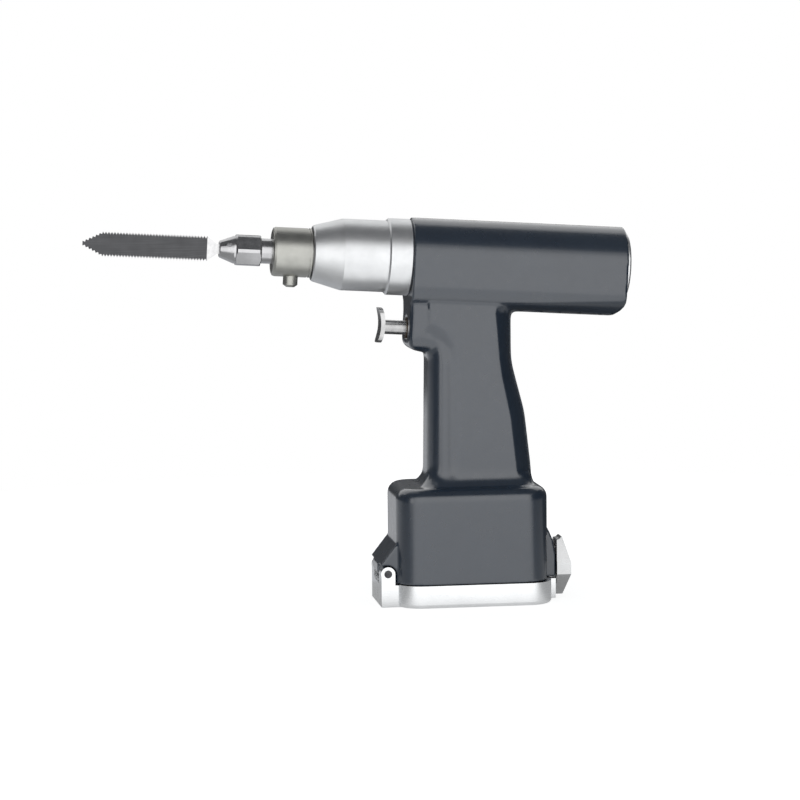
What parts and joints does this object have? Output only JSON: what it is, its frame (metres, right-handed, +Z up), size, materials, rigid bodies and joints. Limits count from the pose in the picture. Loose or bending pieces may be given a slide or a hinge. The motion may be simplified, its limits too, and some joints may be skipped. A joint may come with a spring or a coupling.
{
  "type": "surgical power handpiece",
  "caption": "Cordless pistol-grip surgical power handpiece with a reciprocating saw blade held in a slotted collet, and a latched battery lid in its base.",
  "frame": {"origin": "centre of the flat underside of the battery lid", "axes": "+Z up from the base, -X towards the blade, -Y the side that faces the camera"},
  "size_m": [0.2839, 0.056, 0.2004],
  "materials": {
    "casing_paint": "dark blue-grey satin coating",
    "satin_aluminium": "satin machined",
    "polished_steel": "fine turned stainless",
    "blade_steel": "ground, matt",
    "tool_steel": "ground",
    "plate_aluminium": "machined",
    "lamination_steel": "stacked sheet",
    "copper_wire": "enamelled copper",
    "bearing_bronze": "sintered bronze",
    "contact_brass": "gold flashed",
    "seal_rubber": "silicone",
    "board_laminate": "glass-filled epoxy",
    "black_plastic": "moulded",
    "battery_plastic": "moulded",
    "cell_steel": "nickel plated"
  },
  "bodies": {
    "casing": {"main_casing": "casing_paint", "rear_cap": "satin_aluminium", "cap_seal": "seal_rubber", "nose_cone": "satin_aluminium", "nose_ring": "satin_aluminium", "collar": "polished_steel", "rod_seal": "seal_rubber", "linear_bush": "bearing_bronze", "button_spring": "tool_steel", "ring_gear": "tool_steel", "output_bearing_outer": "tool_steel", "bearing_plate": "plate_aluminium", "front_motor_plate": "plate_aluminium", "rear_motor_plate": "plate_aluminium", "stator_core": "lamination_steel", "motor_windings": "copper_wire", "motor_bearing_outer_rings": "tool_steel", "trigger_bush": "bearing_bronze", "trigger_spring": "tool_steel", "trigger_sensor": "black_plastic", "control_board": "board_laminate", "board_screws": "tool_steel", "power_transistors": "black_plastic", "capacitors": "black_plastic", "battery_shell": "battery_plastic", "battery_cells": "cell_steel", "battery_terminals": "contact_brass", "contact_blades": "contact_brass", "contact_block": "black_plastic", "hinge_pin": "polished_steel", "latch_pin": "polished_steel", "latch_spring": "tool_steel"},
    "rotor": {"rotor_core": "lamination_steel", "motor_shaft": "tool_steel", "sun_gear": "tool_steel", "motor_bearing_inner_rings": "tool_steel"},
    "carrier": {"planet_carrier": "tool_steel", "planet_pins": "tool_steel", "drum_cam": "tool_steel", "output_bearing_inner": "tool_steel"},
    "planet_1": {"planet_gear_1": "tool_steel"},
    "planet_2": {"planet_gear_2": "tool_steel"},
    "planet_3": {"planet_gear_3": "tool_steel"},
    "plunger": {"plunger_rod": "polished_steel", "follower_pin": "tool_steel", "collet": "polished_steel", "saw_blade": "blade_steel"},
    "nut": {"collet_nut": "polished_steel"},
    "trigger": {"trigger": "polished_steel"},
    "button": {"lock_button": "polished_steel"},
    "lid": {"battery_lid": "satin_aluminium", "lid_gasket": "seal_rubber"},
    "latch": {"latch_lever": "satin_aluminium"}
  },
  "joints": [
    {"name": "rotor_spin", "type": "hinge", "parent": "casing", "child": "rotor", "pos_m": [0.02989, 0, 0.17619], "axis": [0.9982, 0, -0.0602], "continuous": true},
    {"name": "carrier_spin", "type": "hinge", "parent": "casing", "child": "carrier", "pos_m": [-0.01603, 0, 0.17896], "axis": [0.9982, 0, -0.0602], "continuous": true},
    {"name": "planet_1_spin", "type": "hinge", "parent": "carrier", "child": "planet_1", "pos_m": [0.00348, 0, 0.1868], "axis": [0.9982, 0, -0.0602], "continuous": true},
    {"name": "planet_2_spin", "type": "hinge", "parent": "carrier", "child": "planet_2", "pos_m": [0.00267, -0.00779, 0.17332], "axis": [0.9982, 0, -0.0602], "continuous": true},
    {"name": "planet_3_spin", "type": "hinge", "parent": "carrier", "child": "planet_3", "pos_m": [0.00267, 0.00779, 0.17332], "axis": [0.9982, 0, -0.0602], "continuous": true},
    {"name": "plunger_stroke", "type": "slide", "parent": "casing", "child": "plunger", "axis": [0.9982, 0, -0.0602], "range_m": [-0.0025, 0.0025]},
    {"name": "nut_turn", "type": "hinge", "parent": "plunger", "child": "nut", "pos_m": [-0.11385, 0, 0.18485], "axis": [0.9982, 0, -0.0602], "range_deg": [0, 360]},
    {"name": "trigger_pull", "type": "slide", "parent": "casing", "child": "trigger", "axis": [0.9982, 0, -0.0602], "range_m": [0, 0.006], "stiffness_N_per_m": 400, "springref_m": -0.004, "deforming": ["trigger_spring"]},
    {"name": "lock_button_press", "type": "slide", "parent": "casing", "child": "button", "axis": [0.0602, 0, 0.9982], "range_m": [0, 0.0014], "stiffness_N_per_m": 500, "springref_m": -0.001, "deforming": ["button_spring"]},
    {"name": "lid_hinge", "type": "hinge", "parent": "casing", "child": "lid", "pos_m": [-0.0451, 0, 0.0173], "axis": [0, 1, 0], "range_deg": [0, 95]},
    {"name": "latch_rock", "type": "hinge", "parent": "casing", "child": "latch", "pos_m": [0.0482, 0, 0.0195], "axis": [0, -1, 0], "range_deg": [0, 8], "stiffness_Nm_per_rad": 0.3, "springref_deg": -5.73, "deforming": ["latch_spring"]}
  ],
  "couplings": [
    {"joint": "carrier_spin", "follows": "rotor_spin", "ratio": 0.25},
    {"joint": "planet_1_spin", "follows": "rotor_spin", "ratio": -0.75},
    {"joint": "planet_2_spin", "follows": "rotor_spin", "ratio": -0.75},
    {"joint": "planet_3_spin", "follows": "rotor_spin", "ratio": -0.75}
  ]
}
